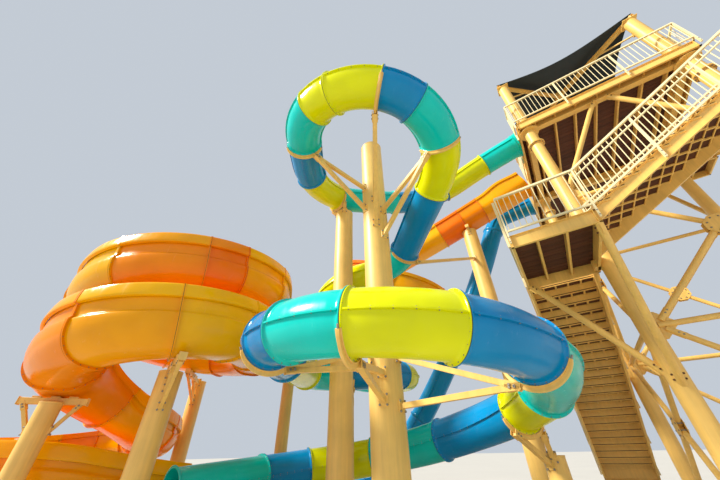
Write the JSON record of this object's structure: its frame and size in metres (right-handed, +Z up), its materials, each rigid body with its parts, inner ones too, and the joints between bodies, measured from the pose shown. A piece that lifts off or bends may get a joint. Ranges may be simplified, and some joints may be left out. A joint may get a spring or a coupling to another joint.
{
  "type": "water slide tower",
  "caption": "Braced steel stair tower with a shaded top deck, an enclosed tube that winds round columns, an open flume that ends in a big spiral, and a steep tube.",
  "frame": {"origin": "centre of the underside of the front left mast's base plate", "axes": "+Z up; +X along the tower's front, from its left mast to its right mast; +Y from the tower's front to its back"},
  "size_m": [22.2979, 17.4941, 14.06],
  "materials": {
    "sand_steel": "satin paint",
    "cream_steel": "satin paint",
    "sail_cloth": "knitted shade cloth",
    "teal_shell": "gloss gelcoat on fibreglass",
    "lime_shell": "gloss gelcoat on fibreglass",
    "blue_shell": "gloss gelcoat on fibreglass",
    "orange_shell": "gloss gelcoat on fibreglass",
    "yellow_shell": "gloss gelcoat on fibreglass"
  },
  "bodies": {
    "root": {"aqua_tube_01": "teal_shell", "aqua_tube_02": "blue_shell", "aqua_tube_03": "lime_shell", "aqua_tube_04": "blue_shell", "aqua_tube_05": "teal_shell", "aqua_tube_06": "lime_shell", "aqua_tube_07": "blue_shell", "aqua_tube_08": "teal_shell", "aqua_tube_09": "blue_shell", "aqua_tube_10": "lime_shell", "aqua_tube_11": "blue_shell", "aqua_tube_12": "teal_shell", "orange_flume_01": "orange_shell", "orange_flume_02": "yellow_shell", "orange_flume_03": "orange_shell", "orange_flume_04": "yellow_shell", "orange_flume_05": "orange_shell", "orange_flume_06": "yellow_shell", "orange_flume_07": "orange_shell", "orange_flume_08": "yellow_shell", "orange_flume_09": "orange_shell", "orange_flume_10": "yellow_shell", "steep_tube_upper": "blue_shell", "steep_tube_lower": "blue_shell", "mast_front_left": "sand_steel", "mast_front_right": "sand_steel", "mast_back_left": "sand_steel", "mast_back_right": "sand_steel", "top_deck": "sand_steel", "landing_middle": "sand_steel", "landing_high": "sand_steel", "flight_low": "sand_steel", "flight_middle": "sand_steel", "flight_high": "sand_steel", "landing_low": "sand_steel", "bracing_front": "sand_steel", "bracing_back": "sand_steel", "bracing_left": "sand_steel", "bracing_right": "sand_steel", "roof_beams": "sand_steel", "helix_column_centre": "sand_steel", "helix_column_back": "sand_steel", "helix_column_right": "sand_steel", "helix_column_far": "sand_steel", "steep_tube_column": "sand_steel", "flume_column_straight": "sand_steel", "flume_column_link": "sand_steel", "spiral_column_far": "sand_steel", "spiral_column_near": "sand_steel", "spiral_column_left": "sand_steel", "railing_lower_outer": "cream_steel", "railing_lower_inner": "cream_steel", "railing_middle_outer": "cream_steel", "railing_middle_inner": "cream_steel", "railing_high_outer": "cream_steel", "railing_high_inner": "cream_steel", "railing_top_front": "cream_steel", "railing_top_left": "cream_steel", "railing_top_back": "cream_steel", "shade_sail": "sail_cloth"}
  },
  "joints": []
}
